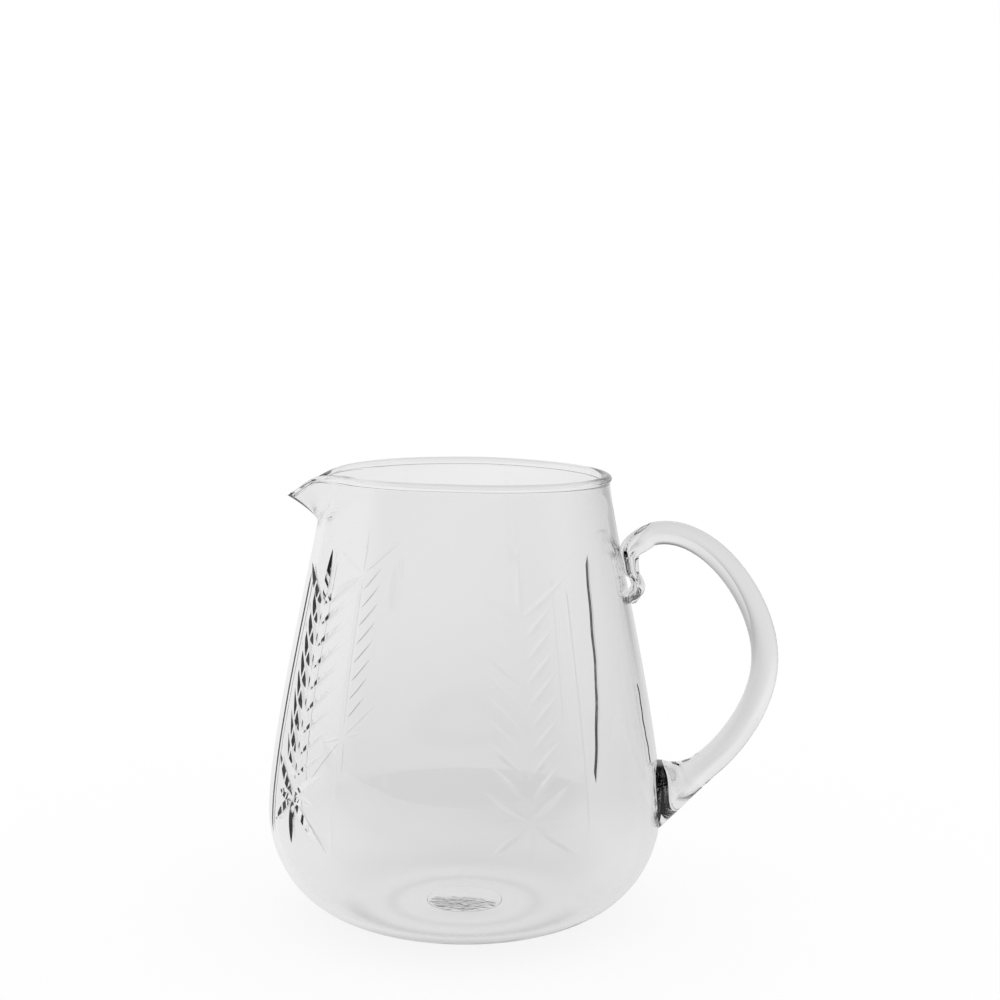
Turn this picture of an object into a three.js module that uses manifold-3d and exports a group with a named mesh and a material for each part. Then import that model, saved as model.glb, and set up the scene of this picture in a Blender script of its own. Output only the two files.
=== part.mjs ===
import * as THREE from 'three';
import { mergeVertices } from 'three/addons/utils/BufferGeometryUtils.js';
import Module from 'manifold-3d';

const wasm = await Module();
wasm.setup();
const { Manifold, Mesh: ManifoldMesh } = wasm;

// Sizes in millimetres, +Z up. The handle is towards +X and the spout towards -X.
const jugHeight = 175;
const rimRadius = 55.2;
const bellyRadius = 77;
const bellyHeight = 42;
const footRadius = 32;
const footWidth = 6;
const wallThickness = 2.8;
const floorThickness = 4.5;
const kickHeight = 3;
const kickFlatRadius = 17;
const seamGap = 0.35;

// Rounded edge round the mouth.
const beadHalfWidth = 1.8;
const beadHalfHeight = 1.4;

// Pouring lip pulled out of the rim, with straight flanks up to a rounded tip.
const spoutReach = 16.4;
const spoutDrop = 8;
const spoutDepth = 15.6;
const spoutTipAngle = THREE.MathUtils.degToRad(4);
const spoutPinch = 1;
const spoutPinchAngle = THREE.MathUtils.degToRad(39);
const spoutPinchSpread = THREE.MathUtils.degToRad(6);

// Solid glass rod of the handle: its middle line at the furthest point and at both ends.
const rodTopRadius = 4.5;
const rodMidRadius = 5.05;
const rodLowRadius = 5.5;
const handleReach = 38.8;
const handleReachHeight = 103;
const gripTopOut = 16.8;
const gripTopDrop = 24.2;
const gripLowOut = 19;
const gripLowHeight = 62.7;

// Pads where the rod was pressed on to the wall.
const rootPadHeight = 48.8;
const rootPadHalfHeight = 12.5;
const rootPadHalfWidth = 10;
const rootRun = 12.7;
const rootTopRise = 2.5;
const rootTopDip = 0.8;
const tailLength = 27;
const tailHalfWidth = 6.2;

// Scar left in the hollow under the floor.
const puntyRadius = 15;
const puntyHeight = 1.4;

const roundSegments = 72;
const spoutDensity = 0.45;
const padSegments = 28;
const gripSteps = 44;
const rootSteps = 5;

const wallTop = jugHeight - 2 * beadHalfHeight - seamGap;
const wallRise = wallTop - bellyHeight;
const cornerWidth = bellyRadius - footRadius;
const gripTopHeight = jugHeight - gripTopDrop;

function bezierPoints(a, b, c, d, count) {
  const curve = new THREE.CubicBezierCurve(a, b, c, d);
  return curve.getPoints(count);
}

function point(r, z) {
  return new THREE.Vector2(r, z);
}

// Outside of the body from the foot to the rim, moved out by an even offset.
function outerWall(offset) {
  const corner = bezierPoints(
    point(footRadius, -offset),
    point(footRadius + 0.76 * cornerWidth, -offset),
    point(bellyRadius + offset, 0.6 * bellyHeight),
    point(bellyRadius + offset, bellyHeight),
    12,
  );
  const side = bezierPoints(
    point(bellyRadius + offset, bellyHeight),
    point(bellyRadius + offset, bellyHeight + 0.247 * wallRise),
    point(rimRadius + offset + 0.0043 * wallRise, wallTop - 0.119 * wallRise),
    point(rimRadius + offset, wallTop),
    22,
  );
  return [...corner, ...side.slice(1)];
}

// Inside of the body from the rim down to the domed floor.
function innerWall() {
  const radius = bellyRadius - wallThickness;
  const top = rimRadius - wallThickness;
  const side = bezierPoints(
    point(top, wallTop),
    point(top + 0.0043 * wallRise, wallTop - 0.119 * wallRise),
    point(radius, bellyHeight + 0.247 * wallRise),
    point(radius, bellyHeight),
    22,
  );
  const bend = bezierPoints(
    point(radius, bellyHeight),
    point(radius, 0.6 * bellyHeight + 0.4 * floorThickness),
    point(footRadius + 0.76 * (cornerWidth - wallThickness), floorThickness),
    point(footRadius, floorThickness),
    12,
  );
  const dome = bezierPoints(
    point(footRadius, floorThickness),
    point(0.7 * footRadius, floorThickness),
    point(0.55 * footRadius, floorThickness + kickHeight),
    point(0, floorThickness + kickHeight),
    6,
  );
  return [...side, ...bend.slice(1), ...dome.slice(1)];
}

// Underside from the hollow's middle to the edge of the foot ring.
function underside() {
  const ringInner = footRadius - footWidth;
  const hollow = bezierPoints(
    point(kickFlatRadius, kickHeight),
    point(0.8 * ringInner, kickHeight),
    point(0.8 * ringInner, 0),
    point(ringInner, 0),
    6,
  );
  return [point(0, kickHeight), ...hollow];
}

// Pulls a point of the round body out into the lip. The angle is measured from the spout.
function pullSpout(r, z, angle) {
  const depth = THREE.MathUtils.clamp((wallTop - z) / spoutDepth, 0, 1);
  const fade = Math.pow(1 - depth, 1.1);
  const flank = Math.acos(r / (r + spoutReach * fade));
  const fromTip = Math.hypot(angle, spoutTipAngle) - spoutTipAngle;
  const pulled = r / Math.cos(Math.max(0, flank - fromTip));
  const fromPinch = (Math.abs(angle) - spoutPinchAngle) / spoutPinchSpread;
  const radius = pulled - fade * spoutPinch * Math.exp(-fromPinch * fromPinch);
  const height = z - (spoutDrop * (pulled - r)) / spoutReach;
  return new THREE.Vector3(-radius * Math.cos(angle), -radius * Math.sin(angle), height);
}

// Angles round the jug, closer together at the spout.
function roundAngles() {
  const angles = [];
  for (let i = 0; i < roundSegments; i += 1) {
    const turn = -Math.PI + (2 * Math.PI * i) / roundSegments;
    angles.push(turn - spoutDensity * Math.sin(turn));
  }
  return angles;
}

function indexedGeometry(points, faces) {
  const geometry = new THREE.BufferGeometry();
  geometry.setAttribute('position', new THREE.Float32BufferAttribute(points.flatMap((p) => p.toArray()), 3));
  geometry.setIndex(faces);
  return geometry;
}

// Turns an outline that starts and ends on the axis into a body, with the lip pulled.
function turnedBody(outline) {
  const angles = roundAngles();
  const rings = outline.slice(1, -1);
  const points = [];
  const faces = [];
  rings.forEach((p) => {
    angles.forEach((angle) => points.push(pullSpout(p.x, p.y, angle)));
  });
  for (let row = 0; row < rings.length - 1; row += 1) {
    for (let i = 0; i < roundSegments; i += 1) {
      const next = (i + 1) % roundSegments;
      const a = row * roundSegments + i;
      const b = row * roundSegments + next;
      faces.push(a, b, b + roundSegments, a, b + roundSegments, a + roundSegments);
    }
  }
  const bottom = points.length;
  points.push(new THREE.Vector3(0, 0, outline[0].y));
  points.push(new THREE.Vector3(0, 0, outline[outline.length - 1].y));
  const lastRow = (rings.length - 1) * roundSegments;
  for (let i = 0; i < roundSegments; i += 1) {
    const next = (i + 1) % roundSegments;
    faces.push(bottom, next, i);
    faces.push(bottom + 1, lastRow + i, lastRow + next);
  }
  return indexedGeometry(points, faces);
}

// Closed ring round the mouth that follows the lip.
function rimRing() {
  const angles = roundAngles();
  const sections = 10;
  const middle = rimRadius - wallThickness / 2;
  const points = [];
  const faces = [];
  for (let s = 0; s < sections; s += 1) {
    const turn = (2 * Math.PI * s) / sections;
    const r = middle + beadHalfWidth * Math.cos(turn);
    const z = jugHeight - beadHalfHeight + beadHalfHeight * Math.sin(turn);
    angles.forEach((angle) => points.push(pullSpout(r, z, angle)));
  }
  for (let s = 0; s < sections; s += 1) {
    const above = (s + 1) % sections;
    for (let i = 0; i < roundSegments; i += 1) {
      const next = (i + 1) % roundSegments;
      const a = s * roundSegments + i;
      const b = s * roundSegments + next;
      const c = above * roundSegments + next;
      const d = above * roundSegments + i;
      faces.push(a, b, c, a, c, d);
    }
  }
  return indexedGeometry(points, faces);
}

// Skin over oval sections in the plane of the handle. Each has a middle, a heading and two half sizes.
function loftedPad(sections) {
  const points = [];
  const faces = [];
  sections.forEach(({ x, z, heading, thick, wide }) => {
    const side = new THREE.Vector3(-Math.sin(heading), 0, Math.cos(heading));
    for (let i = 0; i < padSegments; i += 1) {
      const turn = (2 * Math.PI * i) / padSegments;
      const p = new THREE.Vector3(x, 0, z).addScaledVector(side, thick * Math.cos(turn));
      p.y = wide * Math.sin(turn);
      points.push(p);
    }
  });
  for (let row = 0; row < sections.length - 1; row += 1) {
    for (let i = 0; i < padSegments; i += 1) {
      const next = (i + 1) % padSegments;
      const a = row * padSegments + i;
      const b = row * padSegments + next;
      faces.push(a, b + padSegments, b, a, a + padSegments, b + padSegments);
    }
  }
  const first = points.length;
  const last = sections.length - 1;
  points.push(new THREE.Vector3(sections[0].x, 0, sections[0].z));
  points.push(new THREE.Vector3(sections[last].x, 0, sections[last].z));
  for (let i = 0; i < padSegments; i += 1) {
    const next = (i + 1) % padSegments;
    faces.push(first, i, next);
    faces.push(first + 1, last * padSegments + next, last * padSegments + i);
  }
  return indexedGeometry(points, faces);
}

function toManifold(geometry) {
  const welded = mergeVertices(geometry, 1e-5);
  return new Manifold(new ManifoldMesh({
    numProp: 3,
    vertProperties: new Float32Array(welded.attributes.position.array),
    triVerts: new Uint32Array(welded.index.array),
  }));
}

function fromManifold(solid) {
  const mesh = solid.getMesh();
  const geometry = new THREE.BufferGeometry();
  geometry.setAttribute('position', new THREE.BufferAttribute(mesh.vertProperties.slice(), 3));
  geometry.setIndex(new THREE.BufferAttribute(mesh.triVerts.slice(), 1));
  return geometry;
}

// Outer radius of the body at a height.
function wallRadius(z) {
  const wall = outerWall(0);
  for (let i = 1; i < wall.length; i += 1) {
    if (wall[i].y >= z) {
      const t = (z - wall[i - 1].y) / (wall[i].y - wall[i - 1].y);
      return THREE.MathUtils.lerp(wall[i - 1].x, wall[i].x, t);
    }
  }
  return rimRadius;
}

// Leaves an even seam between a pad and the wall it sits on.
function trimToWall(geometry) {
  const wall = outerWall(seamGap);
  const solid = [point(0, wall[0].y), ...wall, point(0, wallTop)];
  const core = new THREE.LatheGeometry(solid, 144);
  core.rotateX(Math.PI / 2);
  core.deleteAttribute('normal');
  core.deleteAttribute('uv');
  geometry.deleteAttribute('normal');
  return fromManifold(Manifold.difference(toManifold(geometry), toManifold(core)));
}

const gripTop = new THREE.Vector3(rimRadius + gripTopOut, 0, gripTopHeight);
const gripOut = new THREE.Vector3(bellyRadius + handleReach, 0, handleReachHeight);
const gripLow = new THREE.Vector3(bellyRadius + gripLowOut, 0, gripLowHeight);
const upperRise = gripTopHeight - handleReachHeight;
const lowerRise = handleReachHeight - gripLowHeight;
const gripPath = new THREE.CurvePath();
gripPath.add(new THREE.CubicBezierCurve3(
  gripTop,
  new THREE.Vector3(gripTop.x + 0.49 * (gripOut.x - gripTop.x), 0, gripTopHeight + 0.11 * upperRise),
  new THREE.Vector3(gripOut.x, 0, handleReachHeight + 0.473 * upperRise),
  gripOut,
));
gripPath.add(new THREE.CubicBezierCurve3(
  gripOut,
  new THREE.Vector3(gripOut.x, 0, handleReachHeight - 0.45 * lowerRise),
  new THREE.Vector3(gripLow.x + 0.35 * (gripOut.x - gripLow.x), 0, gripLowHeight + 0.155 * lowerRise),
  gripLow,
));

function headingOf(tangent) {
  return Math.atan2(tangent.z, tangent.x);
}

// The rod is thinnest at the top, where it was drawn out last.
function rodRadius(t) {
  if (t < 0.5) {
    return THREE.MathUtils.lerp(rodTopRadius, rodMidRadius, 2 * t);
  }
  return THREE.MathUtils.lerp(rodMidRadius, rodLowRadius, 2 * t - 1);
}

function gripGeometry() {
  const sections = [];
  for (let i = 0; i <= gripSteps; i += 1) {
    const t = i / gripSteps;
    const place = gripPath.getPoint(t);
    const heading = headingOf(gripPath.getTangent(t));
    sections.push({ x: place.x, z: place.z, heading, thick: rodRadius(t), wide: rodRadius(t) });
  }
  return loftedPad(sections);
}

// Flared gather: level on top, with the rod's lower outline run straight on to the wall.
function rootGeometry() {
  const tangent = gripPath.getTangent(1);
  const slope = tangent.z / tangent.x;
  const wallX = wallRadius(rootPadHeight);
  const level = -Math.PI;
  const sections = [
    { x: gripLow.x, z: gripLowHeight, heading: headingOf(tangent), thick: rodLowRadius, wide: rodLowRadius },
  ];
  for (let i = 0; i <= rootSteps; i += 1) {
    const u = 1 - i / rootSteps;
    const low = rootPadHeight - rootPadHalfHeight + slope * u * rootRun;
    const lift = rootTopRise * u ** 3 - rootTopDip * Math.sin(Math.PI * u);
    const high = rootPadHeight + rootPadHalfHeight + lift;
    sections.push({
      x: wallX + u * rootRun,
      z: (low + high) / 2,
      heading: level,
      thick: (high - low) / 2,
      wide: THREE.MathUtils.lerp(rodLowRadius, rootPadHalfWidth, (1 - u) ** 2.2),
    });
  }
  sections.push({
    x: wallX - 2 * wallThickness,
    z: rootPadHeight,
    heading: level,
    thick: rootPadHalfHeight,
    wide: rootPadHalfWidth,
  });
  return trimToWall(loftedPad(sections));
}

// Rows down the tail: share of its length, distance from the wall and half thickness in rod radii,
// and share of its half width.
const tailRows = [
  { down: 0.43, out: 0.6, thick: 0.76, wide: 1 },
  { down: 0.62, out: 0.55, thick: 0.82, wide: 1 },
  { down: 0.78, out: 0.45, thick: 0.74, wide: 0.94 },
  { down: 0.92, out: 0.28, thick: 0.44, wide: 0.7 },
  { down: 1, out: 0.05, thick: 0.24, wide: 0.36 },
];

function tailGeometry() {
  const start = headingOf(gripPath.getTangent(0).negate());
  const turn = THREE.MathUtils.euclideanModulo(start, 2 * Math.PI);
  const down = 1.5 * Math.PI;
  const spot = (t) => gripTopHeight - t * tailLength;
  const rows = tailRows.map((row) => ({
    x: wallRadius(spot(row.down)) + row.out * rodTopRadius,
    z: spot(row.down),
    heading: down,
    thick: row.thick * rodTopRadius,
    wide: row.wide * tailHalfWidth,
  }));
  return trimToWall(loftedPad([
    { x: gripTop.x, z: gripTopHeight, heading: turn, thick: rodTopRadius, wide: rodTopRadius },
    {
      x: gripTop.x - 1.04 * rodTopRadius,
      z: spot(0.107),
      heading: THREE.MathUtils.lerp(turn, down, 0.32),
      thick: 1.02 * rodTopRadius,
      wide: 1.1 * rodTopRadius,
    },
    {
      x: wallRadius(spot(0.25)) + 0.8 * rodTopRadius,
      z: spot(0.25),
      heading: THREE.MathUtils.lerp(turn, down, 0.72),
      thick: 0.93 * rodTopRadius,
      wide: 0.94 * tailHalfWidth,
    },
    ...rows,
  ]));
}

function puntyGeometry() {
  const top = kickHeight;
  const low = kickHeight - puntyHeight;
  const outline = [
    point(0, low + 0.4 * puntyHeight),
    point(0.55 * puntyRadius, low + 0.45 * puntyHeight),
    point(0.8 * puntyRadius, low),
    point(puntyRadius, low + 0.5 * puntyHeight),
    point(puntyRadius, top),
    point(0, top),
  ];
  const geometry = new THREE.LatheGeometry(outline, 40);
  geometry.rotateX(Math.PI / 2);
  return geometry;
}

const parts = new THREE.Group();

function addNode(name, geometry, colour, roughness) {
  const material = new THREE.MeshStandardMaterial({ color: colour, roughness, metalness: 0 });
  const mesh = new THREE.Mesh(geometry, material);
  mesh.name = name;
  parts.add(mesh);
}

addNode('vessel_body', turnedBody([...underside(), ...outerWall(0), ...innerWall()]), 0xdfe3e2, 0.05);
addNode('rim_bead', rimRing(), 0xe6eae9, 0.04);
addNode('punty_mark', puntyGeometry(), 0xc9cdcb, 0.45);
addNode('handle_grip', gripGeometry(), 0xdde2e1, 0.04);
addNode('handle_lower_root', rootGeometry(), 0xd6dcda, 0.05);
addNode('handle_upper_tail', tailGeometry(), 0xd6dcda, 0.05);

// The origin is under the middle of the whole jug, handle and spout included.
const extent = new THREE.Box3().setFromObject(parts);
const middle = extent.getCenter(new THREE.Vector3());
parts.children.forEach((mesh) => mesh.geometry.translate(-middle.x, -middle.y, -extent.min.z));

export default parts;
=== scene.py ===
import math
from bisect import bisect_left
import bpy
from mathutils import Euler, Matrix, Vector, noise
from mathutils.interpolate import poly_3d_calc


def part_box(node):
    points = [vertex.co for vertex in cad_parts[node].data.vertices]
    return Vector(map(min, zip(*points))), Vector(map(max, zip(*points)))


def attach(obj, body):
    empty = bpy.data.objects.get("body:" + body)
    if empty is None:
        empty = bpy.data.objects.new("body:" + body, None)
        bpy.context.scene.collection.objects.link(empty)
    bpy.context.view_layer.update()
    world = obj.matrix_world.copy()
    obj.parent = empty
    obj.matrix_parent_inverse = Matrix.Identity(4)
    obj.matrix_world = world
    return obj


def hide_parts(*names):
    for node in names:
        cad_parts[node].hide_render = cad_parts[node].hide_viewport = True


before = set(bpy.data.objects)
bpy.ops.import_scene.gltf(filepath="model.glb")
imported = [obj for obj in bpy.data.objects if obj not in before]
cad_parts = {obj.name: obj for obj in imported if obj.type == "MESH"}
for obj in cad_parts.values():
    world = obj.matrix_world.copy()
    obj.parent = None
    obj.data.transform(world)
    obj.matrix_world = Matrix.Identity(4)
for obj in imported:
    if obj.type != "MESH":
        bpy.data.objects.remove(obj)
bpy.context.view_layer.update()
bodyLow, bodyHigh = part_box("vessel_body")
axisX = (bodyLow[0] + bodyHigh[0]) / 2  # upright middle line of the body

# camera
photoView = {
    "turn": math.radians(7.7),  # towards the handle
    "distance": 0.700,
    "height": 0.2446,
    "tiltDown": math.radians(6.643),
    "aimRight": math.radians(1.04),
    "roll": math.radians(0.5),
    "lens": 65.405,
}


def addCamera(view):
    place = (axisX + view["distance"] * math.sin(view["turn"]),
             -view["distance"] * math.cos(view["turn"]), view["height"])
    aim = Euler((math.pi / 2 - view["tiltDown"], 0, view["turn"] - view["aimRight"])).to_matrix()
    turn = (aim @ Matrix.Rotation(view["roll"], 3, "Z")).to_euler()
    bpy.ops.object.camera_add(location=place, rotation=turn)
    camera = bpy.context.object
    camera.name = "photoCamera"
    camera.data.lens = view["lens"]
    camera.data.sensor_width = 36
    camera.data.clip_start = 0.01
    bpy.context.scene.camera = camera


addCamera(photoView)
print("camera placed")


# small helpers
def makeActive(piece):
    bpy.ops.object.select_all(action="DESELECT")
    piece.select_set(True)
    bpy.context.view_layer.objects.active = piece


def meshPiece(name, points, edges, faces):
    mesh = bpy.data.meshes.new(name)
    mesh.from_pydata(points, edges, faces)
    piece = bpy.data.objects.new(name, mesh)
    bpy.context.collection.objects.link(piece)
    makeActive(piece)
    return piece


def editAll(piece):
    makeActive(piece)
    bpy.ops.object.mode_set(mode="EDIT")
    bpy.ops.mesh.select_all(action="SELECT")


def applyCut(piece, tool):
    makeActive(piece)
    cut = piece.modifiers.new("cut", "BOOLEAN")
    cut.operation = "DIFFERENCE"
    cut.solver = "MANIFOLD"
    cut.object = tool
    bpy.ops.object.modifier_apply(modifier=cut.name)


def removePiece(piece):
    mesh = piece.data
    bpy.data.objects.remove(piece)
    bpy.data.meshes.remove(mesh)


def curveRow(a, b, c, d, count, crowd=1.0):
    # points along a bezier curve, closer together at its end when crowd is over 1
    row = []
    for i in range(count + 1):
        t = 1 - (1 - i / count) ** crowd
        s = 1 - t
        shares = (s ** 3, 3 * s * s * t, 3 * s * t * t, t ** 3)
        row.append(tuple(sum(w * p[k] for w, p in zip(shares, (a, b, c, d))) for k in (0, 1)))
    return row


def mix(a, b, t):
    return a + (b - a) * t


def smoothStep(t):
    t = min(1.0, max(0.0, t))
    return t * t * (3 - 2 * t)


# blown body
vessel = {
    "height": 0.1749,
    "rimRadius": 0.0552,
    "bellyRadius": 0.07695,
    "bellyHeight": 0.042,
    "footRadius": 0.032,
    "footWidth": 0.006,
    "wall": 0.0028,  # at the rim
    "bellyWall": 0.0025,
    "floor": 0.0024,
    "kick": 0.0014,
    "beadHalfWidth": 0.0021,
    "beadHalfHeight": 0.0016,
    "rimSag": 0.0011,  # the rim hangs a little on the side of the handle
    "sagFrom": 0.1575,
    "turns": 224,
    "spoutDensity": 0.7,  # how much closer the columns stand at the spout
    "cornerPull": (0.76, 0.6),  # curve of the lower corner, as shares of its width and height
    "sidePull": (0.247, 0.0043, 0.119),  # curve of the wall above it, as shares of its rise
    "sideCrowd": 1.5,
    "hollowPull": (0.45, 0.72),  # curve of the hollow under the floor, as shares of its radius
    "thickenOver": 0.8,  # share of the wall's rise over which it gets thicker
    "beadNeck": 0.00035,  # from the wall's top up to the bead
    "beadFrom": math.radians(-48),  # where the bead's round begins
    "rows": {"corner": 26, "side": 60, "hollow": 18, "bead": 16},
}
spout = {
    "reach": 0.0161,
    "drop": 0.008,
    "keel": 0.09,  # how much less the inner surface is pulled, so the lip is thick along its keel
    "depth": 0.0186,
    "fadePower": 1.15,  # how the pull runs out down the wall
    "tipAngle": math.radians(0.6),
    "tipBead": 0.32,  # how much of the bead is left at the tip
    "tipSpread": 0.4,
    "pinch": 0.0005,
    "pinchAngle": math.radians(39),
    "pinchSpread": math.radians(9),
}
wallTop = vessel["height"] - 2 * vessel["beadHalfHeight"] - vessel["beadNeck"]
wallRise = wallTop - vessel["bellyHeight"]
cornerWidth = vessel["bellyRadius"] - vessel["footRadius"]


def outerWall(offset=0.0, detail=1):
    v = vessel
    belly = v["bellyRadius"] + offset
    rim = v["rimRadius"] + offset
    pullOut, pullDown = v["cornerPull"]
    corner = curveRow((v["footRadius"], -offset), (v["footRadius"] + pullOut * cornerWidth, -offset),
                      (belly, pullDown * v["bellyHeight"]), (belly, v["bellyHeight"]),
                      v["rows"]["corner"] * detail)
    bellyPull, rimLean, rimPull = v["sidePull"]
    side = curveRow((belly, v["bellyHeight"]), (belly, v["bellyHeight"] + bellyPull * wallRise),
                    (rim + rimLean * wallRise, wallTop - rimPull * wallRise), (rim, wallTop),
                    v["rows"]["side"] * detail, v["sideCrowd"])
    return corner + side[1:]


wallRow = outerWall(detail=4)
wallHeights = [z for r, z in wallRow]


def wallPoint(turn, height):
    i = min(len(wallRow) - 1, max(1, bisect_left(wallHeights, height)))
    (r0, z0), (r1, z1) = wallRow[i - 1], wallRow[i]
    radius = mix(r0, r1, min(1, (height - z0) / (z1 - z0)))
    slope = Vector((z1 - z0, r0 - r1)).normalized()
    out = Vector((math.cos(turn), math.sin(turn), 0))
    place = Vector((axisX, 0, height)) + radius * out
    normal = (slope.x * out + Vector((0, 0, slope.y))).normalized()
    return place, normal, radius


def wallRadius(height):
    return wallPoint(0, height)[2]


def glassThickness(height):
    v = vessel
    if height < v["bellyHeight"]:
        return mix(v["floor"], v["bellyWall"], smoothStep(height / v["bellyHeight"]))
    run = (height - v["bellyHeight"]) / (v["thickenOver"] * wallRise)
    return mix(v["bellyWall"], v["wall"], smoothStep(run))


def underside():
    v = vessel
    ringInner = v["footRadius"] - v["footWidth"]
    pullIn, pullOut = v["hollowPull"]
    return curveRow((0, v["kick"]), (pullIn * ringInner, v["kick"]),
                    (pullOut * ringInner, 0), (ringInner, 0), v["rows"]["hollow"])


def innerWall():
    v = vessel
    outer = outerWall()
    row = []
    for i in range(len(outer) - 1, -1, -1):
        (r0, z0), (r1, z1) = outer[max(0, i - 1)], outer[min(len(outer) - 1, i + 1)]
        out = Vector((z1 - z0, r0 - r1)).normalized()
        thick = glassThickness(outer[i][1])
        row.append((outer[i][0] - thick * out.x, outer[i][1] - thick * out.y))
    return row + [(r, z + v["floor"]) for r, z in reversed(underside())]


def beadOutline():
    v = vessel
    middleR = v["rimRadius"] - v["wall"] / 2
    middleZ = v["height"] - v["beadHalfHeight"]
    start = v["beadFrom"]
    count = v["rows"]["bead"]
    row = []
    for i in range(count + 1):
        turn = start + (math.pi - 2 * start) * i / count
        row.append((middleR + v["beadHalfWidth"] * math.cos(turn),
                    middleZ + v["beadHalfHeight"] * math.sin(turn)))
    return row


def pullSpout(piece):
    s, v = spout, vessel
    for vert in piece.data.vertices:
        x, y, z = vert.co.x - axisX, vert.co.y, vert.co.z
        radius = math.hypot(x, y)
        if radius == 0:
            continue
        angle = math.atan2(-y, -x)
        angle -= v["spoutDensity"] * math.sin(angle)
        if z > wallTop:
            left = 1 - (1 - s["tipBead"]) * math.exp(-(angle / s["tipSpread"]) ** 2)
            radius = mix(v["rimRadius"] - v["wall"] / 2, radius, left)
            z = mix(wallTop, z, left)
        fade = max(0.0, 1 - max(0.0, wallTop - z) / s["depth"]) ** s["fadePower"]
        inside = min(1.0, max(0.0, (wallRadius(z) - radius) / v["wall"]))
        reach = s["reach"] * (1 - s["keel"] * inside) * fade
        flank = math.acos(radius / (radius + reach))
        fromTip = math.hypot(angle, s["tipAngle"]) - s["tipAngle"]
        pulled = radius / math.cos(max(0.0, flank - fromTip))
        share = (pulled - radius) / reach if fade else 0.0
        fromPinch = (abs(angle) - s["pinchAngle"]) / s["pinchSpread"]
        grown = pulled - fade * s["pinch"] * math.exp(-fromPinch ** 2)
        sagging = smoothStep((z - v["sagFrom"]) / (wallTop - v["sagFrom"]))
        sag = v["rimSag"] * max(0.0, -math.cos(angle)) * sagging
        vert.co = (axisX - grown * math.cos(angle), -grown * math.sin(angle),
                   z - s["drop"] * fade * share ** (2 - share) - sag)


def spinSection(name, outline, turns):
    points = [(axisX + r, 0, z) for r, z in outline]
    edges = [(i, i + 1) for i in range(len(points) - 1)]
    piece = meshPiece(name, points, edges, [])
    editAll(piece)
    bpy.ops.mesh.spin(steps=turns, angle=2 * math.pi, center=(axisX, 0, 0), axis=(0, 0, 1))
    bpy.ops.mesh.select_all(action="SELECT")
    bpy.ops.mesh.remove_doubles(threshold=1e-6)
    bpy.ops.mesh.normals_make_consistent(inside=False)
    bpy.ops.object.mode_set(mode="OBJECT")
    bpy.ops.object.shade_smooth()
    return piece


def blowBody():
    outline = underside() + outerWall() + beadOutline() + innerWall()
    body = spinSection("jugVessel", outline, vessel["turns"])
    pullSpout(body)
    return body


jugVessel = blowBody()
print("body blown:", len(jugVessel.data.polygons), "faces")

# wheel-cut ferns
cutting = {
    "lineTurn": math.radians(18),
    "lineLow": 0.036,
    "lineHigh": 0.138,
    "lineEnds": 0.05,  # share of a line over which each end runs out
    "swayWaves": (9, 31, 0.4),  # a slow and a quick wave, and the size of the quick one
    "starHeight": 0.056,
    "starSquash": 0.86,
    "crownHeight": 0.127,
    "petalGap": 0.0008,  # from the middle of the star or the crown
    "leafStep": 0.0080,
    "leafCount": 8,
    "leafLow": 0.064,
    "leafLength": 0.0215,
    "leafGrow": (0.82, 0.18),  # share of the length at both ends, and what the middle leaves have more
    "leafGap": 0.0012,  # from the stem
    "shallow": 0.00025,  # leaves deeper than this are deepest near the stem
    "stemDepth": 0.00015,
    "stemWidth": 0.0008,
    "stemEnds": (0.004, 0.001),  # above the star and below the crown
    "lift": 0.0002,  # how far the wheel stands out of the wall
    "endLift": 0.00004,  # how far the ends of a cut are lifted off the wall
    "cutAway": 0.00001,  # a face this far from the uncut wall counts as cut
    "cutTilt": 0.97,  # and so does one that is tilted to it, as the cosine of the angle
    "rows": {"leaf": 10, "stem": 20, "petal": 12, "line": 60},
}
# direction in degrees and length of each petal
crownPetals = [(90, 0.0215), (35, 0.024), (145, 0.024)]
starPetals = [(0, 0.0137), (40, 0.021), (140, 0.0235), (180, 0.0125), (222, 0.0215), (270, 0.0205),
              (320, 0.0295)]
# lines beside a fern: depth, width of both facets, sideways lean at the foot and the top, and sway
faintLine = {"depth": 0.0001, "left": 0.0007, "right": 0.0007, "lean": (0, 0), "sway": 0}
softLine = {"depth": 0.00022, "left": 0.0010, "right": 0.0010, "lean": (0, 0), "sway": 0}
edgeLine = {"depth": 0.00034, "left": 0.0015, "right": 0.0013, "lean": (0.003, 0.002), "sway": 0.0001}
deepLine = {"depth": 0.0007, "left": 0.0008, "right": 0.0022, "lean": (0.0064, -0.005), "sway": 0.0004}
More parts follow.
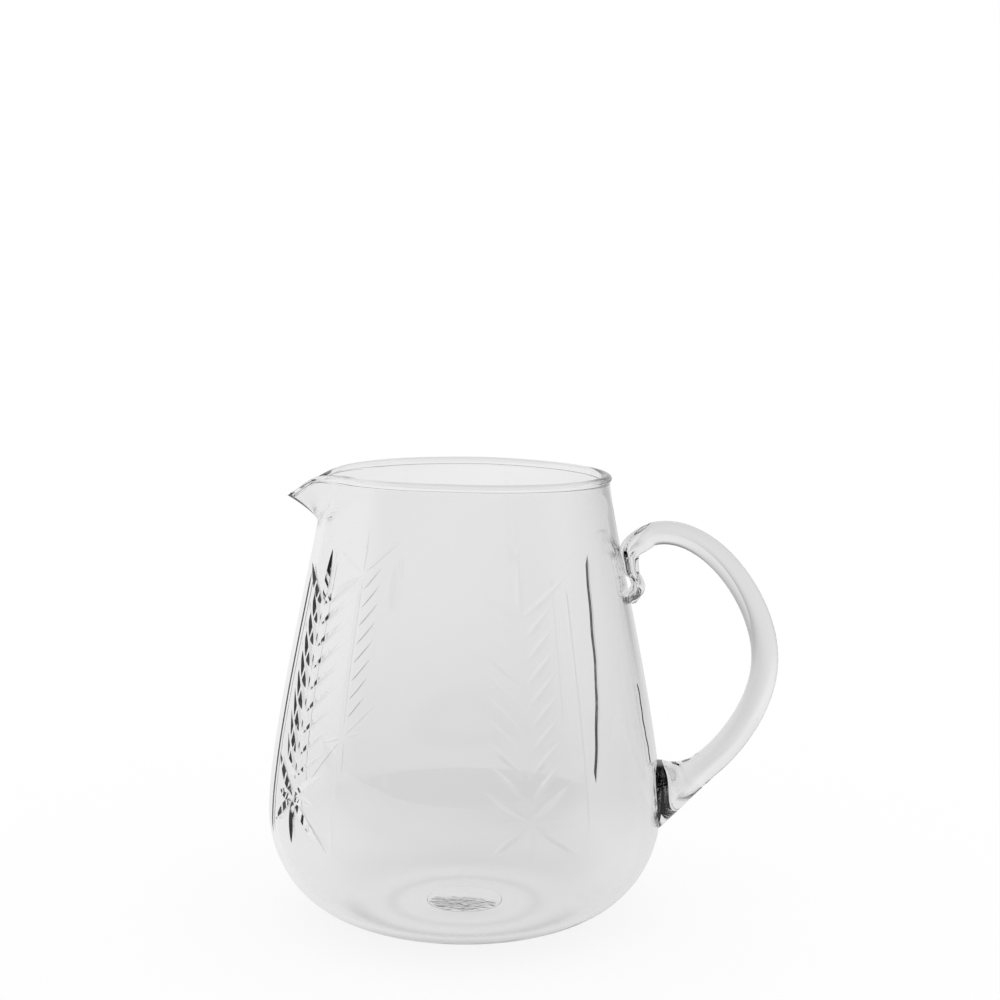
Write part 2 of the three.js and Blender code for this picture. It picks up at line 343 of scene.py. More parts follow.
# turn from the handle, how much of the leaves' length is cut, the leaves' slope on both sides in degrees,
# then the depth and the width of a facet for the petals, and the depth and the width of the lower and the
# upper facet for the leaves on both sides; all cut by hand and uneven
ferns = [
    {"turn": math.radians(-64.6), "length": 1.0, "slope": {-1: 45, 1: 45}, "petal": (0.0003, 0.0021),
     "leaf": {-1: (0.00022, 0.0019, 0.0016), 1: (0.0003, 0.0021, 0.002)},
     "lines": {-1: faintLine, 1: softLine}},
    {"turn": math.radians(62.8), "length": 1.0, "slope": {-1: 45, 1: 45}, "petal": (0.00014, 0.0015),
     "leaf": {-1: (0.00012, 0.0014, 0.0012), 1: (0.00012, 0.0014, 0.0012)},
     "lines": {-1: deepLine, 1: faintLine}},
    {"turn": math.radians(-139.6), "length": 1.0, "slope": {-1: 54, 1: 42}, "petal": (0.0009, 0.0023),
     "leaf": {-1: (0.00112, 0.0032, 0.0006), 1: (0.0006, 0.0016, 0.0013)},
     "lines": {-1: edgeLine, 1: softLine}},
    {"turn": math.radians(142.6), "length": 0.66, "slope": {-1: 45, 1: 45}, "petal": (0.00024, 0.0013),
     "leaf": {-1: (0.00025, 0.00092, 0.0016), 1: (0.00012, 0.0012, 0.0012)},
     "lines": {-1: faintLine, 1: faintLine}},
]
# mark of the tool that held the wall while the handle was put on, above the handle's root
toolMark = {"depth": 0.00025, "left": 0.0009, "right": 0.0009, "lean": (0.0008, -0.0008), "sway": 0.0005,
            "turn": math.radians(-13), "span": (0.064, 0.097)}


def mitreCut(tool, turn, path, depth, left, right, stations, taper):
    # path gives the sideways distance on the wall from the fern's middle line, and the height;
    # left and right are the widths of the cut's two facets
    c = cutting
    step = 0.01  # along the path, to find its direction
    rows = []
    for i in range(stations + 1):
        t = i / stations
        side, height = path(t)
        side2, height2 = path(min(1, t + step) if t < 1 else t - step)
        radius = wallPoint(turn, height)[2]
        place, normal, _ = wallPoint(turn + side / radius, height)
        ahead = wallPoint(turn + side2 / radius, height2)[0] - place
        if t == 1:
            ahead = -ahead
        across = normal.cross(ahead).normalized()
        deep = depth * taper(t) - c["endLift"]
        share = (deep + c["lift"]) / depth
        rows.append((place - normal * deep, place + normal * c["lift"] + across * left * share,
                     place + normal * c["lift"] - across * right * share))
    base = len(tool["points"])
    for row in rows:
        tool["points"].extend(row)
    for i in range(stations):
        a = base + 3 * i
        b = a + 3
        tool["faces"] += [(a, b, b + 1, a + 1), (a, a + 2, b + 2, b), (a + 1, b + 1, b + 2, a + 2)]
    last = base + 3 * stations
    tool["faces"] += [(base, base + 1, base + 2), (last, last + 2, last + 1)]


def leafTaper(t):
    return max(0.0, 4 * t * (1 - t)) ** 0.75


def featherTaper(t):
    return 6.75 * t * (1 - t) ** 2


def petalTaper(t):
    return max(0.0, math.sin(math.pi * t ** 0.75)) ** 0.8


def lineTaper(t):
    ends = cutting["lineEnds"]
    return min(1, t / ends, (1 - t) / ends)


def straight(x0, z0, x1, z1):
    return lambda t: (x0 + (x1 - x0) * t, z0 + (z1 - z0) * t)


def cutLine(tool, turn, line):
    c = cutting
    low, high = line.get("span", (c["lineLow"], c["lineHigh"]))
    slow, quick, share = c["swayWaves"]

    def path(t):
        sway = line["sway"] * (math.sin(slow * t) + share * math.sin(quick * t))
        return sway + mix(line["lean"][0], line["lean"][1], t), mix(low, high, t)

    mitreCut(tool, turn, path, line["depth"], line["left"], line["right"], c["rows"]["line"], lineTaper)


def cutPetal(tool, turn, height, degrees, size, squash, petal):
    c = cutting
    depth, wide = petal
    gap = c["petalGap"]
    way = math.radians(degrees)
    mitreCut(tool, turn, straight(gap * math.cos(way), height + gap * math.sin(way),
                                  size * math.cos(way), height + squash * size * math.sin(way)),
             depth, wide, wide, c["rows"]["petal"], petalTaper)


def cutFerns(body):
    c = cutting
    # cuts that cross are made in passes of their own
    passes = [{"points": [], "faces": []} for _ in range(5)]
    endShare, growth = c["leafGrow"]
    gap = c["leafGap"]
    overStar, underCrown = c["stemEnds"]
    for fern in ferns:
        turn = fern["turn"]
        for i in range(c["leafCount"]):
            foot = c["leafLow"] + i * c["leafStep"]
            middle = math.sin(math.pi * (i + 1) / (c["leafCount"] + 1))
            size = fern["length"] * c["leafLength"] * (endShare + growth * middle)
            for side, tool in ((1, passes[0]), (-1, passes[1])):
                out = size * math.cos(math.radians(fern["slope"][side]))
                up = size * math.sin(math.radians(fern["slope"][side]))
                depth, low, high = fern["leaf"][side]
                left, right = (high, low) if side == 1 else (low, high)
                taper = featherTaper if depth > c["shallow"] else leafTaper
                mitreCut(tool, turn, straight(side * gap, foot, side * (gap + out), foot + up),
                         depth, left, right, c["rows"]["leaf"], taper)
        mitreCut(passes[2], turn, straight(0, c["starHeight"] + overStar, 0, c["crownHeight"] - underCrown),
                 c["stemDepth"], c["stemWidth"], c["stemWidth"], c["rows"]["stem"], lineTaper)
        for side in (-1, 1):
            cutLine(passes[2], turn + side * c["lineTurn"], fern["lines"][side])
        for degrees, size in crownPetals:
            tool = passes[4] if degrees == 90 else passes[3]
            cutPetal(tool, turn, c["crownHeight"], degrees, size, 1, fern["petal"])
        for k, (degrees, size) in enumerate(starPetals):
            cutPetal(passes[3 + k % 2], turn, c["starHeight"], degrees, size, c["starSquash"], fern["petal"])
    cutLine(passes[2], toolMark["turn"], toolMark)
    for k, tool in enumerate(passes):
        wheel = meshPiece("cutTool", [tuple(p) for p in tool["points"]], [], tool["faces"])
        editAll(wheel)
        bpy.ops.mesh.normals_make_consistent(inside=False)
        bpy.ops.object.mode_set(mode="OBJECT")
        applyCut(body, wheel)
        removePiece(wheel)
        print("cut pass", k + 1, len(body.data.polygons), "faces")


def copyPiece(piece, name):
    twin = piece.copy()
    twin.data = piece.data.copy()
    twin.name = name
    bpy.context.collection.objects.link(twin)
    return twin


def polishAround(body, smooth):
    # uncut glass keeps the shading of the smooth body, cut facets stay flat
    c = cutting
    mesh = body.data
    source = smooth.data
    normals = [Vector((0, 0, 0))] * len(mesh.loops)
    facet = mesh.attributes.new("cutFacet", "FLOAT", "CORNER")
    known = {}
    for face in mesh.polygons:
        _, spot, normal, _ = smooth.closest_point_on_mesh(face.center)
        isCut = (spot - face.center).length > c["cutAway"] or normal.dot(face.normal) < c["cutTilt"]
        for loop in face.loop_indices:
            facet.data[loop].value = 1.0 if isCut else 0.0
            if isCut:
                normals[loop] = face.normal.copy()
                continue
            vert = mesh.loops[loop].vertex_index
            if vert not in known:
                _, spot, _, index = smooth.closest_point_on_mesh(mesh.vertices[vert].co)
                corners = source.polygons[index].vertices
                weights = poly_3d_calc([source.vertices[k].co for k in corners], spot)
                blended = Vector((0, 0, 0))
                for weight, k in zip(weights, corners):
                    blended += weight * source.vertices[k].normal
                known[vert] = blended.normalized()
            normals[loop] = known[vert]
    mesh.normals_split_custom_set(normals)


smoothBody = copyPiece(jugVessel, "smoothBody")
cutFerns(jugVessel)
print("ferns cut")

# handle
handle = {
    "topRod": 0.0045,
    "midRod": 0.00505,
    "lowRod": 0.0055,
    "reach": 0.0388,
    "reachHeight": 0.1038,
    "topOut": 0.0168,
    "topHeight": 0.1515,
    "lowOut": 0.019,
    "lowHeight": 0.0633,
    "padHeight": 0.0494,
    "padHalfHeight": 0.0125,
    "padHalfWidth": 0.0112,
    "rootRun": 0.0127,
    "rootTopDip": 0.0008,
    "tailLength": 0.027,
    "tailHalfWidth": 0.0058,
    "fold": 0.42,  # waist of the tail, as a share of its width
    "foldWidth": 0.35,
    "groove": 0.65,  # depth of the crease over the bend, as a share of the rod's radius
    "grooveWidth": 0.26,  # in radians
    "around": 96,
    "rows": {"upper": 30, "lower": 24, "root": 18, "tail": 7},
    "upperPull": (0.49, 0.11, 0.473),  # curve of the grip above its widest place
    "lowerPull": (0.45, 0.35, 0.155),  # and below it
    "rootUpperPull": (0.0062, 0.0062),  # curve of the root: along the rod, and out from the wall
    "rootLowerPull": (0.009, 0.0044, 0.0030),  # the same, and up
    "rootFlare": (1.3, 2.2),
    "rootRound": 0.6,  # squarer than round at the wall
    "rootDeep": 0.004,  # goes on into the wall, until that is cut off
    "ripple": (3, 800),  # waves round the tail, and their twist along it
    "sharpFrom": math.radians(40),
    "sunk": 0.0001,  # how far the pads go into the wall
    "seam": 0.00002,  # left open between the pads and the wall under them
    "seamDepth": (0.00006, 0.0003),  # faces between these depths in the wall belong to the seam
    "seamMargin": 0.001,
}
plainRod = [0.0, 0.0, math.radians(-25), 0.0, 1.0]  # waist, crease, its turn, ripple, roundness


def gripSections():
    h = handle
    top = (vessel["rimRadius"] + h["topOut"], h["topHeight"])
    out = (vessel["bellyRadius"] + h["reach"], h["reachHeight"])
    low = (vessel["bellyRadius"] + h["lowOut"], h["lowHeight"])
    upper = top[1] - out[1]
    lower = out[1] - low[1]
    across, lift, rise = h["upperPull"]
    first = curveRow(top, (mix(top[0], out[0], across), top[1] + lift * upper),
                     (out[0], out[1] + rise * upper), out, h["rows"]["upper"])
    sink, across, lift = h["lowerPull"]
    second = curveRow(out, (out[0], out[1] - sink * lower),
                      (mix(low[0], out[0], across), low[1] + lift * lower), low, h["rows"]["lower"])
    path = first + second[1:]
    lengths = [0.0]
    for before, after in zip(path, path[1:]):
        lengths.append(lengths[-1] + math.dist(before, after))
    rows = []
    for i, (x, z) in enumerate(path):
        before = path[max(0, i - 1)]
        after = path[min(len(path) - 1, i + 1)]
        heading = math.atan2(after[1] - before[1], after[0] - before[0])
        t = lengths[i] / lengths[-1]
        rod = mix(h["topRod"], h["midRod"], 2 * t) if t < 0.5 else mix(h["midRod"], h["lowRod"], 2 * t - 1)
        rows.append([x, z, heading, rod, rod] + plainRod)
    return rows


def rootSections(start):
    # upper and lower outline of the root, from the rod's end to the wall
    h = handle
    wallX = wallRadius(h["padHeight"])
    low = h["padHeight"] - h["padHalfHeight"]
    high = h["padHeight"] + h["padHalfHeight"]
    x, z, heading, rod = start[:4]
    along = (math.cos(heading), math.sin(heading))
    aside = (-math.sin(heading) * rod, math.cos(heading) * rod)
    top = (x - aside[0], z - aside[1])
    under = (x + aside[0], z + aside[1])
    steps = h["rows"]["root"]
    ahead, out = h["rootUpperPull"]
    upper = curveRow(top, (top[0] + ahead * along[0], top[1] + ahead * along[1]),
                     (wallX + out, high - h["rootTopDip"]), (wallX, high), steps)
    ahead, out, up = h["rootLowerPull"]
    lower = curveRow(under, (under[0] + ahead * along[0], under[1] + ahead * along[1]),
                     (wallX + out, low + up), (wallX, low), steps)
    early, late = h["rootFlare"]
    rows = []
    for i in range(steps + 1):
        a, b = upper[i], lower[i]
        thick = math.dist(a, b) / 2
        turn = math.atan2(a[0] - b[0], b[1] - a[1])
        turn -= 2 * math.pi * round((turn - heading) / (2 * math.pi))
        run = min(1.0, max(0.0, (a[0] - wallX) / h["rootRun"]))
        wide = mix(h["lowRod"], h["padHalfWidth"], (1 - run ** early) ** late)
        roundness = mix(h["rootRound"], 1, run)
        rows.append([(a[0] + b[0]) / 2, (a[1] + b[1]) / 2, turn, thick, wide] + plainRod[:4] + [roundness])
    rows.append([rows[-1][0] - h["rootDeep"]] + rows[-1][1:])
    return rows


def tailSections(start):
    h = handle
    rod, wide, fold, groove = h["topRod"], h["tailHalfWidth"], h["fold"], h["groove"]
    down = 1.5 * math.pi
    turn = start[2]

    def section(t, out, heading, thick, across, waist, crease, creaseTurn, ripple):
        # t runs down the tail, and the distance from the wall and the thickness are in radii of the rod
        height = h["topHeight"] - t * h["tailLength"]
        return [wallRadius(height) + out * rod, height, heading, thick * rod, across,
                waist, crease, math.radians(creaseTurn), ripple, 1]

    bend = section(0.107, 0, mix(turn, down, 0.32), 1.02, 1.1 * rod, 0.2 * fold, groove, -48, 0)
    bend[0] = start[0] - 1.04 * rod  # still clear of the wall
    return [
        bend,
        section(0.25, 0.8, mix(turn, down, 0.72), 0.93, 0.94 * wide, 0.9 * fold, groove, -72, 0),
        section(0.43, 0.6, down, 0.76, wide, fold, 0.6 * groove, -92, 0),
        section(0.57, 0.60, down, 0.70, wide, fold, 0.4 * groove, -96, 0.05),
        section(0.64, 0.84, down, 0.56, 0.92 * wide, 0.5 * fold, 0.3 * groove, -96, 0.12),
        section(0.76, 0.80, down, 0.60, 0.86 * wide, 0, 0.3 * groove, -96, 0.24),
        section(0.88, 0.57, down, 0.58, 0.74 * wide, 0, 0.2 * groove, -96, 0.28),
        section(1.0, 0.12, down, 0.30, 0.38 * wide, 0, 0, -96, 0.15),
    ]


def smoothRows(rows, steps):
    # Catmull-Rom through the sections
    dense = []
    for i in range(len(rows) - 1):
        p0 = rows[max(0, i - 1)]
        p1, p2 = rows[i], rows[i + 1]
        p3 = rows[min(len(rows) - 1, i + 2)]
        for k in range(steps):
            t = k / steps
            dense.append([0.5 * (2 * b + (c - a) * t + (2 * a - 5 * b + 4 * c - d) * t * t
                          + (3 * b - a - 3 * c + d) * t ** 3) for a, b, c, d in zip(p0, p1, p2, p3)])
    dense.append(rows[-1])
    return dense


def loftRod(name, rows, around):
    h = handle
    waves, twist = h["ripple"]
    points, faces = [], []
    for x, z, heading, thick, wide, fold, groove, grooveTurn, ripple, roundness in rows:
        side = Vector((-math.sin(heading), 0, math.cos(heading)))
        for i in range(around):
            turn = 2 * math.pi * i / around - math.pi
            along, across = math.cos(turn), math.sin(turn)
            size = 1 - groove * math.exp(-((turn - grooveTurn) / h["grooveWidth"]) ** 2)
            size += ripple * math.sin(waves * turn + twist * z)
            waist = 1 - fold * math.exp(-(along / h["foldWidth"]) ** 2)
            along = math.copysign(abs(along) ** roundness, along)
            across = math.copysign(abs(across) ** roundness, across)
            place = Vector((axisX + x, size * waist * wide * across, z))
            points.append(tuple(place + side * size * thick * along))
    for row in range(len(rows) - 1):
        for i in range(around):
            a = row * around + i
            b = row * around + (i + 1) % around
            faces.append((a, b, b + around, a + around))
    faces.append(tuple(range(around)))
    faces.append(tuple(range((len(rows) - 1) * around, len(rows) * around)))
    piece = meshPiece(name, points, [], faces)
    editAll(piece)
    bpy.ops.mesh.normals_make_consistent(inside=False)
    bpy.ops.object.mode_set(mode="OBJECT")
    bpy.ops.object.shade_smooth()
    return piece


def drawHandle():
    grip = gripSections()
    # the tail is drawn away from the grip, so its headings are turned about and back again
    start = grip[0][:2] + [(grip[0][2] + math.pi) % (2 * math.pi)] + grip[0][3:]
    tail = smoothRows([start] + tailSections(start), handle["rows"]["tail"])[::-1]
    for row in tail:
        row[2] -= math.pi
    piece = loftRod("jugHandle", tail[:-1] + grip + rootSections(grip[-1])[1:], handle["around"])
    core = spinSection("wallCore", [(0, handle["sunk"])] + outerWall(-handle["sunk"]) + [(0, wallTop)],
                       vessel["turns"])
    pullSpout(core)
    applyCut(piece, core)
    removePiece(core)
    makeActive(piece)
    bpy.ops.object.shade_smooth_by_angle(angle=handle["sharpFrom"])
    return piece


# scar in the hollow under the floor
scar = {
    "radius": 0.0148,
    "height": 0.0006,
    "strip": 0.0065,  # half the depth of the broken strip across the scar
    "stripMiddle": -0.007,
    "edgeFrom": 0.75,  # share of the radius where the strip starts to run out
    "weaker": (-0.001, 0.01, 0.5),  # along x: from where, over which length, and what is left
    "shards": (300, 800, 3),  # how fine they are along x and y, and which of the patterns
    "shardDetail": (0.8, 2.0, 4),
    "shardGain": 1.6,
    "clear": 0.0001,  # thickness of the clear glass
    "sunk": 0.0001,
    "seamDepth": (0.00004, 0.0002),
    "turns": 192,
    "rings": 60,
}
underRow = underside()


def undersideHeight(radius):
    for (r0, z0), (r1, z1) in zip(underRow, underRow[1:]):
        if r1 >= radius:
            return mix(z0, z1, (radius - r0) / (r1 - r0))
    return 0.0


def breakScar():
    s = scar
    start, length, left = s["weaker"]
    fineX, fineY, pattern = s["shards"]
    rings = [s["radius"] * i / s["rings"] for i in range(s["rings"] + 1)]
    above = [(r, undersideHeight(r) + s["sunk"]) for r in rings]
    below = [(r, undersideHeight(r) - s["clear"] * (1 - (r / s["radius"]) ** 4)) for r in reversed(rings)]
    piece = spinSection("puntyScar", above + below, s["turns"])
    broken = piece.data.attributes.new("broken", "FLOAT", "POINT")
    for vert in piece.data.vertices:
        x, y = vert.co.x - axisX, vert.co.y
        radius = math.hypot(x, y)
        if vert.co.z > undersideHeight(radius):
            continue
        edge = 1 - smoothStep((radius / s["radius"] - s["edgeFrom"]) / (1 - s["edgeFrom"]))
        across = math.exp(-((y - s["stripMiddle"]) / s["strip"]) ** 4)
        lengthwise = mix(1, left, smoothStep((x - start) / length))
        rough = edge * across * lengthwise
        shard = noise.fractal(Vector((fineX * x, fineY * y, pattern)), *s["shardDetail"])
        vert.co.z -= s["height"] * min(1.0, max(0.0, s["shardGain"] * shard)) * rough
        broken.data[vert.index].value = rough
    bpy.ops.object.shade_smooth()
    return piece


def underPad(place):
    # just below the outer surface of the wall, beside the handle
    h = handle
    low = h["padHeight"] - h["padHalfHeight"] - h["seamMargin"]
    wide = h["padHalfWidth"] + h["seamMargin"]
    if place.x < axisX or abs(place.y) > wide or not low < place.z < vessel["sagFrom"]:
        return False
    least, most = h["seamDepth"]
    return least < wallRadius(place.z) - math.hypot(place.x - axisX, place.y) < most


def overScar(place):
    radius = math.hypot(place.x - axisX, place.y)
    if radius > scar["radius"]:
        return False
    least, most = scar["seamDepth"]
    return least < place.z - undersideHeight(radius) < most


def hiddenSeam(place):
    return underPad(place) or overScar(place)


def fuse(body, piece):
    # the piece leaves its mark in the wall, and the glass is clear right through there
    applyCut(body, piece)
    seam, rest = set(), set()
    for face in piece.data.polygons:
        (seam if hiddenSeam(face.center) else rest).update(face.vertices)
    for index in seam - rest:
        place = piece.data.vertices[index].co
        out = Vector((place.x - axisX, place.y, 0)).normalized() if underPad(place) else Vector((0, 0, -1))
        piece.data.vertices[index].co = place + handle["seam"] * out


jugHandle = drawHandle()
print("handle drawn:", len(jugHandle.data.polygons), "faces")
puntyScar = breakScar()
print("scar made")
fuse(jugVessel, jugHandle)
fuse(jugVessel, puntyScar)
polishAround(jugVessel, smoothBody)
removePiece(smoothBody)
print("handle and scar fused:", len(jugVessel.data.polygons), "faces on the body")

# glass: how fine the waves in its surface are along each axis and how deep, and how rough the cut facets are
bodyFinish = {"tint": 0.98, "waveScale": (70, 70, 7), "waveDepth": 0.00003, "cutRoughness": 0.1}
handleFinish = {"tint": 0.95, "waveScale": (80, 80, 80), "waveDepth": 0.00004, "cutRoughness": 0.0}
scarFinish = {"tint": 0.98, "dullTint": 0.7, "grain": 900, "grainDepth": 0.0002, "roughness": 0.3}
refraction = 1.5


def newMaterial(name):
    material = bpy.data.materials.new(name)
    material.use_nodes = True
    return material, material.node_tree.nodes, material.node_tree.links


def glassShader(nodes):
    shader = nodes["Principled BSDF"]
    shader.inputs["Transmission Weight"].default_value = 1
    shader.inputs["IOR"].default_value = refraction
    shader.inputs["Roughness"].default_value = 0
    return shader


def fromAttribute(nodes, links, name, least, most, socket):
    source = nodes.new("ShaderNodeAttribute")
    source.attribute_name = name
    spread = nodes.new("ShaderNodeMapRange")
    spread.inputs["To Min"].default_value = least
    spread.inputs["To Max"].default_value = most
    links.new(source.outputs["Fac"], spread.inputs["Value"])
    links.new(spread.outputs["Result"], socket)


def clearGlass(name, finish):
    material, nodes, links = newMaterial(name)
    shader = glassShader(nodes)
    tint = finish["tint"]
    shader.inputs["Base Color"].default_value = (tint, tint, tint, 1)
    coords = nodes.new("ShaderNodeTexCoord")
    stretch = nodes.new("ShaderNodeMapping")
    stretch.inputs["Scale"].default_value = finish["waveScale"]
    links.new(coords.outputs["Object"], stretch.inputs["Vector"])
    wave = nodes.new("ShaderNodeTexNoise")
    wave.inputs["Scale"].default_value = 1
    wave.inputs["Detail"].default_value = 1.5
    links.new(stretch.outputs["Vector"], wave.inputs["Vector"])
    bump = nodes.new("ShaderNodeBump")
    bump.inputs["Strength"].default_value = 1
    bump.inputs["Distance"].default_value = finish["waveDepth"]
    links.new(wave.outputs["Fac"], bump.inputs["Height"])
    links.new(bump.outputs["Normal"], shader.inputs["Normal"])
    if finish["cutRoughness"]:
        fromAttribute(nodes, links, "cutFacet", 0, finish["cutRoughness"], shader.inputs["Roughness"])
    return material


def fusedGlass():
    # hidden faces inside joined glass, which bend no light
    material, nodes, links = newMaterial("fusedSeam")
    clear = nodes.new("ShaderNodeBsdfTransparent")
    links.new(clear.outputs[0], nodes["Material Output"].inputs["Surface"])
    nodes.remove(nodes["Principled BSDF"])
    return material


def brokenGlass(name, finish):
    # rough and dull where it broke, clear beside that
    material, nodes, links = newMaterial(name)
    shader = glassShader(nodes)
    coords = nodes.new("ShaderNodeTexCoord")
    grain = nodes.new("ShaderNodeTexNoise")
    grain.inputs["Scale"].default_value = finish["grain"]
    grain.inputs["Detail"].default_value = 4
    links.new(coords.outputs["Object"], grain.inputs["Vector"])
    broken = nodes.new("ShaderNodeAttribute")
    broken.attribute_name = "broken"
    bump = nodes.new("ShaderNodeBump")
    bump.inputs["Distance"].default_value = finish["grainDepth"]
    links.new(broken.outputs["Fac"], bump.inputs["Strength"])
    links.new(grain.outputs["Fac"], bump.inputs["Height"])
    links.new(bump.outputs["Normal"], shader.inputs["Normal"])
    fromAttribute(nodes, links, "broken", 0, finish["roughness"], shader.inputs["Roughness"])
    fromAttribute(nodes, links, "broken", finish["tint"], finish["dullTint"], shader.inputs["Base Color"])
    return material


def coat(piece, glass, seamGlass):
    piece.data.materials.clear()
    piece.data.materials.append(glass)
    piece.data.materials.append(seamGlass)
    for face in piece.data.polygons:
        face.material_index = 1 if hiddenSeam(face.center) else 0


fusedSeam = fusedGlass()
coat(jugVessel, clearGlass("bodyGlass", bodyFinish), fusedSeam)
coat(jugHandle, clearGlass("handleGlass", handleFinish), fusedSeam)
coat(puntyScar, brokenGlass("scarGlass", scarFinish), fusedSeam)
print("glass made")

# studio, white behind and below, dim on the side of the viewer, high up and a little on the right
studio = {
    "floorZ": -0.0002,
    "floorSize": 8,
    "floorTone": 0.95,
    "floorGlow": 0.88,  # share of the floor's own light in what is seen of it
    "floorDim": (-0.40, -0.12, 0.0, 0.85),  # mirrored floor: from and to along y, and the brightness there
    "floorDepth": (-0.40, 0.80, 0.74, 0.86),  # the same for the floor seen through the glass
    "floorNear": (0.04, 0.18, 1.14, 1.0),
    "floorSide": (-0.25, 0.75, 1.0, 0.5),  # along x
    "footShade": (0.029, 0.003, 0.13),  # radius and spread of the shade at the foot, and how dark it is
    "frontShade": (0.045, 0.005, 0.4),  # the same for the shade in front of the foot, under the wall
    "frontOnly": (-0.03, 0.0, 1.0, 0.0),
    "skyDim": (-0.55, -0.10, 0.10, 0.87),
    "skySide": (0.0, 0.95, 1.0, 0.5),
    "skyTop": (0.35, 0.85, 1.0, 0.12),
    "skyLight": 1.05,
    "bounces": 24,
    "mirrorBounces": 12,
}


def fade(nodes, links, value, ends):
    node = nodes.new("ShaderNodeMapRange")
    node.interpolation_type = "SMOOTHSTEP"
    for k, number in enumerate(ends):
        node.inputs[k + 1].default_value = number
    links.new(value, node.inputs["Value"])
    return node.outputs["Result"]


def work(nodes, links, kind, a, b):
    node = nodes.new("ShaderNodeMath")
    node.operation = kind
    for socket, value in zip(node.inputs, (a, b)):
        if isinstance(value, (int, float)):
            socket.default_value = value
        else:
            links.new(value, socket)
    return node.outputs[0]


def blendColour(nodes, links, share, a, b):
    node = nodes.new("ShaderNodeMix")
    node.data_type = "RGBA"
    links.new(share, node.inputs["Factor"])
    for name, value in (("A", a), ("B", b)):
        if isinstance(value, (int, float)):
            node.inputs[name].default_value = (value, value, value, 1)
        else:
            links.new(value, node.inputs[name])
    return node.outputs["Result"]


def splitAxes(nodes, links, kind):
    coords = nodes.new("ShaderNodeTexCoord")
    split = nodes.new("ShaderNodeSeparateXYZ")
    links.new(coords.outputs[kind], split.inputs[0])
    return split.outputs


def seenBy(nodes, links):
    path = nodes.new("ShaderNodeLightPath").outputs
    both = work(nodes, links, "MAXIMUM", path["Is Camera Ray"], path["Is Glossy Ray"])
    return path, work(nodes, links, "MAXIMUM", both, path["Is Transmission Ray"])


def shadeRing(nodes, links, far, ring):
    radius, spread, dark = ring
    off = work(nodes, links, "DIVIDE", work(nodes, links, "SUBTRACT", far, radius), spread)
    bell = work(nodes, links, "POWER", 1 / math.e, work(nodes, links, "MULTIPLY", off, off))
    return work(nodes, links, "MULTIPLY", bell, dark)


def shadeAtFoot(nodes, links, axes):
    x = work(nodes, links, "SUBTRACT", axes["X"], axisX)
    far = work(nodes, links, "ADD", work(nodes, links, "MULTIPLY", x, x),
               work(nodes, links, "MULTIPLY", axes["Y"], axes["Y"]))
    far = work(nodes, links, "SQRT", far, 0)
    front = work(nodes, links, "MULTIPLY", shadeRing(nodes, links, far, studio["frontShade"]),
                 fade(nodes, links, axes["Y"], studio["frontOnly"]))
    both = work(nodes, links, "ADD", front, shadeRing(nodes, links, far, studio["footShade"]))
    return work(nodes, links, "SUBTRACT", 1, both)


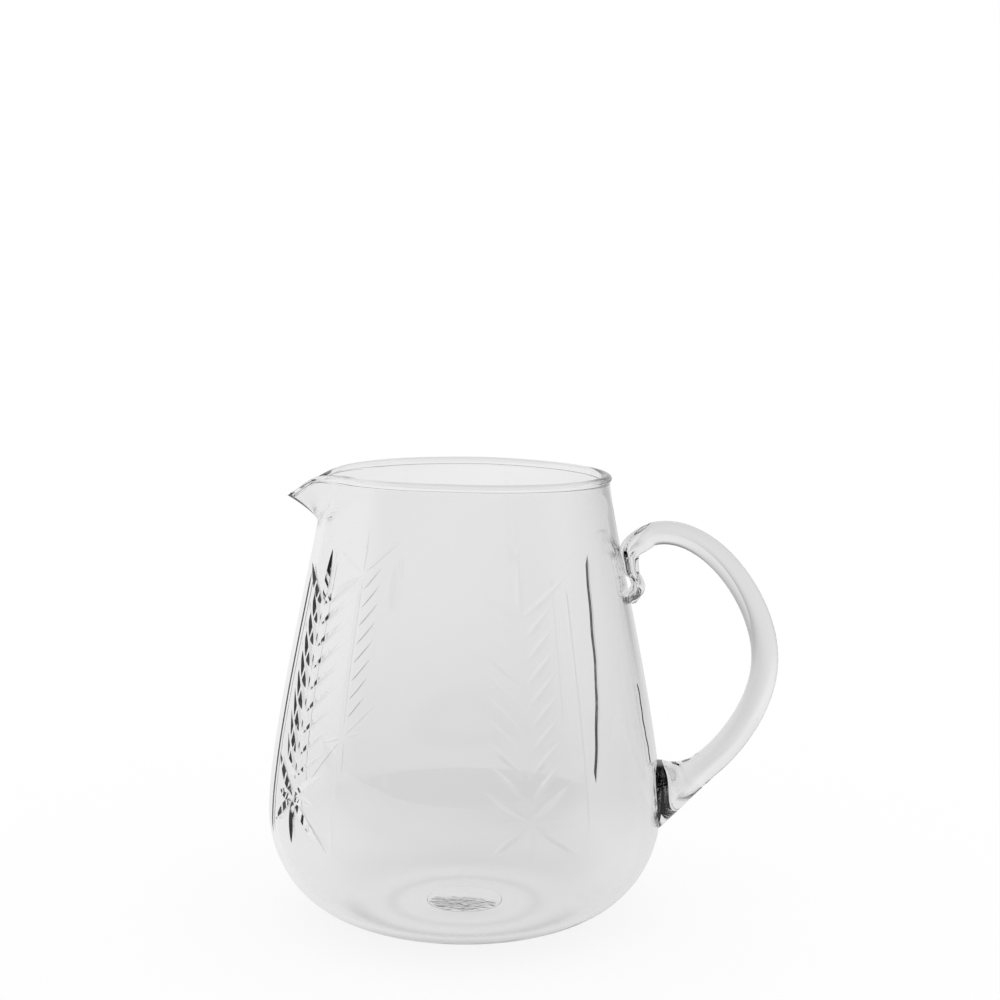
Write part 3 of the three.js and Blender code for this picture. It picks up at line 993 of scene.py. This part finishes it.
def addFloor():
    bpy.ops.object.select_all(action="DESELECT")
    bpy.ops.mesh.primitive_plane_add(size=studio["floorSize"], location=(0, 0, studio["floorZ"]))
    floor = bpy.context.object
    floor.name = "studioFloor"
    material, nodes, links = newMaterial("paleFloor")
    nodes.clear()
    output = nodes.new("ShaderNodeOutputMaterial")
    diffuse = nodes.new("ShaderNodeBsdfDiffuse")
    tone = studio["floorTone"]
    diffuse.inputs["Color"].default_value = (tone, tone, tone, 1)
    glow = nodes.new("ShaderNodeEmission")
    path, seen = seenBy(nodes, links)
    axes = splitAxes(nodes, links, "Object")
    front = fade(nodes, links, axes["Y"], studio["floorDim"])
    side = fade(nodes, links, axes["X"], studio["floorSide"])
    back = fade(nodes, links, axes["Y"], studio["floorDepth"])
    mirrored = work(nodes, links, "MULTIPLY", front, side)
    near = fade(nodes, links, axes["Y"], studio["floorNear"])
    through = work(nodes, links, "MULTIPLY", work(nodes, links, "MULTIPLY", back, near), side)
    through = work(nodes, links, "MULTIPLY", through, shadeAtFoot(nodes, links, axes))
    bent = blendColour(nodes, links, path["Is Reflection Ray"], through, mirrored)
    links.new(blendColour(nodes, links, path["Is Camera Ray"], bent, 1), glow.inputs["Color"])
    blend = nodes.new("ShaderNodeMixShader")
    links.new(work(nodes, links, "MULTIPLY", seen, studio["floorGlow"]), blend.inputs["Fac"])
    links.new(diffuse.outputs[0], blend.inputs[1])
    links.new(glow.outputs[0], blend.inputs[2])
    links.new(blend.outputs[0], output.inputs["Surface"])
    floor.data.materials.append(material)


def addWorld():
    world = bpy.data.worlds.new("studioWorld")
    bpy.context.scene.world = world
    world.use_nodes = True
    nodes, links = world.node_tree.nodes, world.node_tree.links
    nodes.clear()
    output = nodes.new("ShaderNodeOutputWorld")
    sky = nodes.new("ShaderNodeBackground")
    axes = splitAxes(nodes, links, "Generated")
    front = fade(nodes, links, axes["Y"], studio["skyDim"])
    side = fade(nodes, links, axes["X"], studio["skySide"])
    top = fade(nodes, links, axes["Z"], studio["skyTop"])
    shown = work(nodes, links, "MULTIPLY", work(nodes, links, "MULTIPLY", front, side), top)
    path, seen = seenBy(nodes, links)
    # what lights the floor, or what the glass shows
    lit = blendColour(nodes, links, seen, studio["skyLight"], shown)
    links.new(blendColour(nodes, links, path["Is Camera Ray"], lit, 1), sky.inputs["Color"])
    links.new(sky.outputs[0], output.inputs["Surface"])


addFloor()
addWorld()
scene = bpy.context.scene
scene.view_settings.view_transform = "Standard"
scene.cycles.max_bounces = studio["bounces"]
scene.cycles.transmission_bounces = studio["bounces"]
scene.cycles.glossy_bounces = studio["mirrorBounces"]
print("studio lit")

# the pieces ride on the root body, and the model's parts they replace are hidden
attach(jugVessel, "root")
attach(jugHandle, "root")
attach(puntyScar, "root")
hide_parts("vessel_body", "rim_bead")
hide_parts("handle_grip", "handle_lower_root", "handle_upper_tail")
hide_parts("punty_mark")
